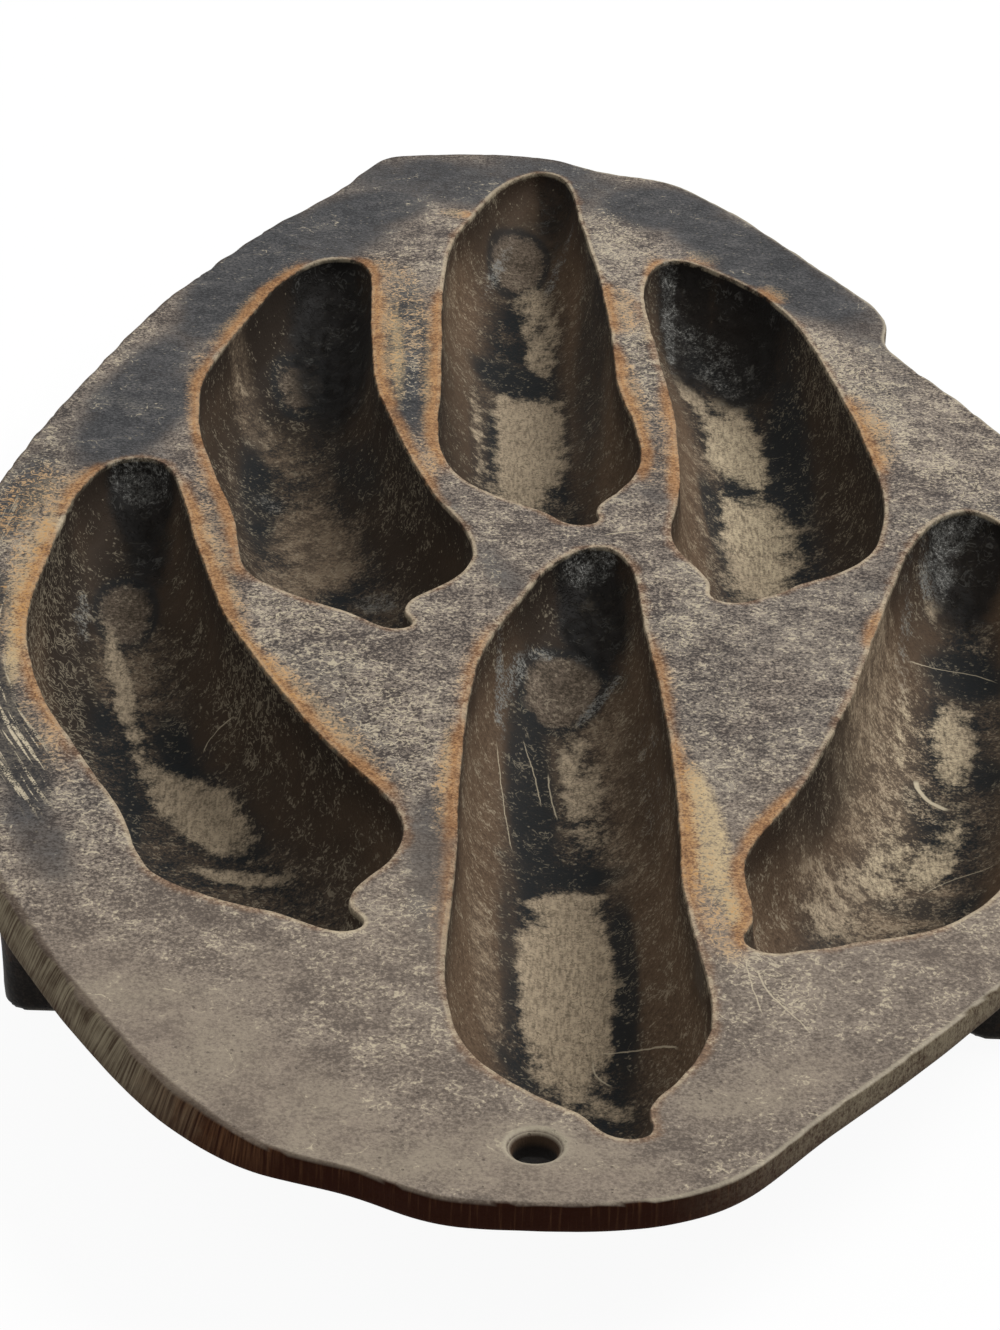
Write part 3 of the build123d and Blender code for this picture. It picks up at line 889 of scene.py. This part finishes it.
    haloWidth = summed(haloWidth, both(rust, -0.8))
    closeRust = both(both(ramp(rust, 0.08, 0.6), ramp(haloWidth, look["closeRust"], 0.3)), 0.85)
    farRust = both(ramp(rust, 0.1, 0.7), ramp(haloWidth, look["farRust"], 0.8))
    farRust = both(farRust, both(ramp(tone, 0.46, 0.60), 0.55))
    thinHalo = both(ramp(haloWidth, 1.5, 0.1), 0.35)
    rustShare = calc("MAXIMUM", calc("MAXIMUM", closeRust, farRust), thinHalo)
    land = mixed(both(rustShare, 0.9), land, rustTone)
    land = mixed(both(both(hairs, ramp(rust, 0.15, 0.7)), 0.6), land, "rustHair")
    depth = calc("SUBTRACT", panTop * 0.001, height)
    land = mixed(both(mouth, 0.8), land, "corner")
    bevelled = both(ramp(mouth, 0.85, 1.0), ramp(depth, 0.0002, 0.0005))
    bevel = mixed(ramp(tone, 0.38, 0.62), "sideBrown", "wornDark")
    land = mixed(both(bevelled, 0.9), land, bevel)

    # hollows
    inset = calc("MULTIPLY", fromRim, -1.0)   # mm in from the rim, seen from above
    wallFade = ramp(summed(depth, centred(cloud, 0.002)), *look["wallFade"])
    wall = mixed(wallFade, "wallTop", "wallLow")
    wall = mixed(both(ramp(tone, 0.54, 0.36), 0.6), wall, "wallTop")
    wall = mixed(both(ramp(tone, 0.56, 0.68), 0.35), wall, "hair")
    # walls darkened where the char spots lie: burnt seasoning, and painted shade on walls facing away from
    # the light
    charAndShadeShare = ramp(summed(charAndShade, centred(cloud, 0.4), both(ragged, 0.5)), 0.1, 0.9)
    wall = mixed(both(charAndShadeShare, 0.85), wall, "burntAndShadedWall")
    low = ramp(summed(inset, centred(cloud, 3.0), centred(mottle, 2.0), both(ragged, 2.0)), 3.4, 9.0)
    deep = mixed(ramp(summed(tone, centred(cloud, 0.3)), 0.36, 0.68), "floorDark", "floorGrey")
    hollow = mixed(low, wall, deep)
    dust = mixed(ramp(summed(tone, centred(mottle, 0.15)), 0.36, 0.64), "floorGrey", "dust")
    dustShare = ramp(summed(dusty, centred(cloud, 0.4), both(ragged, 0.6)), 0.1, 0.9)
    hollow = mixed(both(dustShare, 0.85), hollow, dust)
    ring = both(ramp(bare, 0.02, 0.3), 0.3)
    thick = calc("MAXIMUM", ring, both(ramp(summed(slate, both(ragged, 0.7)), 0.1, 0.8), 0.9))
    hollow = mixed(calc("SUBTRACT", thick, both(dustShare, 0.3), True), hollow, "floorDark")
    hollow = mixed(both(ramp(summed(dim, both(ragged, 0.4)), 0.1, 0.9), 0.8), hollow, "burntAndShadedWall")
    hollow = mixed(both(ramp(disc, 0.02, 0.22), 0.7), hollow, "floorDark")
    discTone = mixed(ramp(tone, 0.36, 0.64), "discDark", "disc")
    discShare = ramp(summed(disc, both(ragged, 0.5), centred(mottle, 0.4)), 0.3, 0.5)
    discShare = both(discShare, ramp(disc, 0.1, 0.7))
    hollow = mixed(discShare, hollow, discTone)
    # painted sheen: a blue-grey reflection laid into the colour of the floors and walls
    paintedSheenShare = ramp(summed(paintedSheen, both(ragged, 1.4)), 0.3, 0.9)
    paintedSheenGrain = ramp(summed(both(tone, 0.6), both(fine, 0.4)), 0.42, 0.56)
    hollow = mixed(both(paintedSheenShare, paintedSheenGrain), hollow, "paintedSheen")
    wiping = {"Rotation": (0, 0, math.radians(4)), "Scale": (1.0, 0.2, 0.4)}   # along the hollows
    lengthwise = addNode(tree, "Mapping", wiping, {"Vector": place})
    rubs = noiseOf(look["rub"], 2, 0.6, 0.0, lengthwise)
    # painted light: bare and dusty floors lightened where the pale spots lie, so that these patches look
    # lit
    lit = ramp(pale, 0.1, 0.8)
    bareTone = mixed(both(lit, 0.8), "bare", "barePaintedLit")
    tan = mixed(ramp(summed(both(rubs, 0.4), both(tone, 0.6)), 0.34, 0.62), "bareDark", bareTone)
    dustLit = both(both(lit, ramp(tone, 0.5, 0.64)), both(ramp(dusty, 0.1, 0.6), 0.6))
    hollow = mixed(dustLit, hollow, "bare")
    bareLeft = summed(bare, both(slate, -0.45), both(ragged, 0.5))
    bareShare = ramp(summed(bareLeft, centred(mottle, 0.4), centred(cloud, 0.4)), 0.2, 0.66)
    hollow = mixed(both(bareShare, ramp(bare, 0.04, 0.25)), hollow, tan)
    flecks = calc("MAXIMUM", hairs, specks)
    hollow = mixed(both(flecks, both(bareShare, 0.55)), hollow, "discDark")
    hollow = mixed(both(flecks, both(calc("SUBTRACT", 1.0, bareShare), 0.25)), hollow, "hair")
    crinkle = hairsOf(look["mottle"], 0.05, 0.05, 2.0)
    flaky = ramp(summed(mottle, centred(cloud, 0.6)), 0.5, 0.66)
    # burnt crust, black, with painted glints on its crinkles, and painted grey sheen and glint strokes
    # where the sheen spots lie
    paintedShineMask = ramp(summed(paintedSheen, both(ragged, 0.8)), 0.15, 0.7)
    crustAndGlints = mixed(both(both(crinkle, flaky), 0.12), "soot", "paintedGlint")
    glintStrokes = hairsOf(look["paintedGlintSize"], 0.035, 0.0, 2.5)
    crustAndGlints = mixed(both(paintedShineMask, ramp(tone, 0.4, 0.62)), crustAndGlints, "paintedSheenLow")
    crustAndGlints = mixed(both(both(glintStrokes, paintedShineMask), 0.8), crustAndGlints, "paintedGlint")
    sootShare = ramp(summed(soot, both(ragged, 0.5), centred(cloud, 0.3)), 0.25, 0.8)
    hollow = mixed(both(sootShare, 0.92), hollow, crustAndGlints)
    pocketTone = mixed(tone, "wallTop", "pocket")
    hollow = mixed(both(both(pocket, ramp(depth, *look["pocketDepth"])), 0.8), hollow, pocketTone)

    inward = ramp(fromRim, 0.3, 0.02)
    top = mixed(inward, land, hollow)
    flatPlace = addNode(tree, "Mapping", {"Scale": (1.0, 1.0, 0.0)}, {"Vector": place})
    scratched = None
    for x1, y1, x2, y2, x3, y3, width in look["scratches"]:
        centre, radius = circleThrough((x1, y1), (x2, y2), (x3, y3))
        reach = math.hypot(x3 - x1, y3 - y1) / 2000
        fromCentre = distance(flatPlace, centre)
        fromMiddle = distance(flatPlace, (x2 / 1000, y2 / 1000, 0))
        offLine = calc("ABSOLUTE", summed(fromCentre, -radius, centred(mottle, 0.0003)))
        line = both(ramp(offLine, width / 1000, width / 2500), ramp(fromMiddle, reach * 1.1, reach * 0.8))
        line = both(line, min(1, 0.45 + width))
        scratched = line if scratched is None else calc("MAXIMUM", scratched, line)
    top = mixed(scratched, top, "hair")
    onLip = both(both(ramp(fromRim, 0.85, 0.5), ramp(depth, 0.0010, 0.0006)), ramp(fromRim, -0.3, 0.0))
    lipShare = both(onLip, ramp(summed(mottle, centred(cloud, 0.4), centred(fine, 0.2)), 0.34, 0.6))
    top = mixed(both(lipShare, calc("SUBTRACT", 0.6, both(rustShare, 0.5))), top, "lip")
    # a pale worn line along the outer corner on the right-hand side, partly a painted highlight where that
    # edge faces the light
    rightSide = ramp(sideways, -0.02, 0.03)
    onCorner = both(ramp(fromEdge, 0.9, 0.4), ramp(summed(rightSide, centred(mottle, 0.7)), 0.4, 0.8))
    top = mixed(both(onCorner, 0.6), top, "corner")
    # painted shade: a dark band along the rounded top edge of the side, left off on the right, where the
    # edge faces the light
    shadedShoulder = both(ramp(summed(fromEdge, both(slant, -2.4)), 0.9, 0.2), calc("SUBTRACT", 1.0, rightSide))
    top = mixed(both(shadedShoulder, 0.65), top, "sideBrown")

    # outer side: scorched brown with upright grinding streaks; pale towards the left and right and dark red
    # at the front, partly painted light of the bright surroundings to the left and right and the darker
    # front
    upright = addNode(tree, "CombineXYZ", links={0: both(read("along"), 0.001), 1: both(height, 0.05)})
    grinding = noiseOf(look["grinding"], 3, 0.6, 0.0, upright)
    groundTone = ramp(summed(both(grinding, 0.7), both(mottle, 0.3)), 0.36, 0.62)
    groundAndLit = mixed(groundTone, "sideBrown", "sidePale")
    scorched = mixed(ramp(grinding, 0.5, 0.85), "sideRed", "sideRust")
    groundShare = ramp(summed(sideways, centred(mottle, 0.008)), *look["groundFrom"])
    browned = mixed(ramp(grinding, 0.36, 0.64), "sideRed", "sideRust")
    brownShare = ramp(summed(sideways, centred(cloud, 0.01)), *look["brownFrom"])
    side = mixed(groundShare, mixed(brownShare, scorched, browned), groundAndLit)
    workedAndLit = mixed(ramp(tone, 0.3, 0.65), "sideBrown", "sidePale")
    side = mixed(both(ramp(sideways, *look["rightFrom"]), 0.75), side, workedAndLit)

    # underside: soot-black, made darker still as painted shade under the pan, a little rust, rubbed bright
    # where it stands
    below = mixed(ramp(tone, 0.4, 0.7), "underSootAndShade", "underPale")
    below = mixed(both(ramp(summed(cloud, centred(mottle, 0.3)), 0.5, 0.66), 0.7), below, "underRust")
    below = mixed(both(ramp(height, *look["standing"]), ramp(tone, 0.35, 0.6)), below, "rubbed")
    side = mixed(both(ramp(height, 0.0205, 0.0188), 0.4), side, "sideRed")
    # inside the hanging hole: brown near the mouth and black lower down, a painted shadow inside the bore
    side = mixed(boreWall, side, mixed(ramp(depth, 0.0024, 0.0012), "underSootAndShade", "sideBrown"))
    colour = mixed(outer, mixed(under, top, below), side)

    rough = summed(look["roughness"], centred(grain, 0.12), both(rustShare, 0.2), both(worn, 0.04))
    rough = summed(rough, both(inward, 0.12), both(outer, 0.3))
    rough = calc("SUBTRACT", rough, both(ramp(soot, 0.2, 0.9), 0.12), True)
    bumps = summed(both(fine, 0.25), both(grain, 0.5), both(mottle, 0.7), both(pits, -0.8))
    bumps = summed(bumps, both(both(crinkle, soot), 0.6), both(grinding, both(outer, 0.8)))
    relief = addNode(tree, "Bump", look["relief"], {"Height": bumps})
    sockets = {"Base Color": colour, "Roughness": rough, "Normal": relief}
    shader = addNode(tree, "BsdfPrincipled", {"Specular IOR Level": look["gloss"]}, sockets)
    addNode(tree, "OutputMaterial", links={0: shader})
    return made


iron = seasonedCastIron("seasoned sand-cast iron", ironLook)
for piece in pieces.values():
    piece.data.materials.append(iron)
print("material made")

# camera, where the photograph was taken from
camera = {
    "place": (-6.2, -486.7, panTop + 240.0),
    "pitch": 28.27,   # degrees below the horizon
    "roll": 1.72,
    "lens": 97.44,    # on a 36 mm sensor along the long side
}
lens = bpy.data.cameras.new("camera")
lens.sensor_width = 36
lens.lens = camera["lens"]
lens.clip_start = 0.01
eye = bpy.data.objects.new("camera", lens)
turn = Matrix.Rotation(math.radians(90 - camera["pitch"]), 4, "X")
turn = turn @ Matrix.Rotation(math.radians(camera["roll"]), 4, "Z")
eye.matrix_world = Matrix.Translation(Vector(camera["place"]) * 0.001) @ turn
bpy.context.scene.collection.objects.link(eye)
bpy.context.scene.camera = eye

# floor and light
studio = {
    "floorHalf": 3.0,      # metres from the middle to a side
    "floorColour": "#f4f4f3",
    "floorRoughness": 0.9,
    "paperWhite": 0.94,     # how far the paper is lifted to white where it is seen directly
    "skyStrength": 0.36,
    "lamps": {             # place in metres, size, watts
        "windowRight": ((0.95, 0.45, 1.15), 0.9, 26.0),
        "fillLeft": ((-1.1, -0.5, 1.0), 1.2, 5.0),
    },
}


def seenDirectly(tree):   # 1 where the camera, a gloss or a glass looks at the background
    rays = tree.nodes.new("ShaderNodeLightPath")
    total = rays.outputs["Is Camera Ray"]
    for kind in ("Is Glossy Ray", "Is Transmission Ray"):
        total = addNode(tree, "Math", {"operation": "MAXIMUM"}, {0: total, 1: rays.outputs[kind]})
    return total


half = studio["floorHalf"]
floorMesh = bpy.data.meshes.new("floor")
floorCorners = [(-half, -half, 0), (half, -half, 0), (half, half, 0), (-half, half, 0)]
floorMesh.from_pydata(floorCorners, [], [(0, 1, 2, 3)])
floor = bpy.data.objects.new("floor", floorMesh)
bpy.context.scene.collection.objects.link(floor)
paper = bpy.data.materials.new("matt white paper")
paper.use_nodes = True
shine = paper.node_tree
matt = shine.nodes["Principled BSDF"]
matt.inputs["Base Color"].default_value = linear(studio["floorColour"])
matt.inputs["Roughness"].default_value = studio["floorRoughness"]
floorMesh.materials.append(paper)
share = addNode(shine, "Math", {"operation": "MULTIPLY", 1: studio["paperWhite"]}, {0: seenDirectly(shine)})
pureWhite = addNode(shine, "Emission", {"Color": (1, 1, 1, 1), "Strength": 1.0})
blend = addNode(shine, "MixShader", links={0: share, 1: matt.outputs[0], 2: pureWhite})
shine.links.new(blend, shine.nodes["Material Output"].inputs[0])

world = bpy.data.worlds.new("studio")
bpy.context.scene.world = world
world.use_nodes = True
sky = world.node_tree
sky.nodes.clear()
plain = addNode(sky, "Background", {"Color": (1, 1, 1, 1), "Strength": studio["skyStrength"]})
white = addNode(sky, "Background", {"Color": (1, 1, 1, 1), "Strength": 1.0})
shown = addNode(sky, "MixShader", links={0: seenDirectly(sky), 1: plain, 2: white})
addNode(sky, "OutputWorld", links={0: shown})
for name, (place, size, watts) in studio["lamps"].items():
    lamp = bpy.data.lights.new(name, "AREA")
    lamp.size = size
    lamp.energy = watts
    stand = bpy.data.objects.new(name, lamp)
    aim = (-Vector(place)).to_track_quat("-Z", "Y").to_matrix().to_4x4()
    stand.matrix_world = Matrix.Translation(place) @ aim
    bpy.context.scene.collection.objects.link(stand)
bpy.context.scene.view_settings.view_transform = "Standard"
print("studio lit")
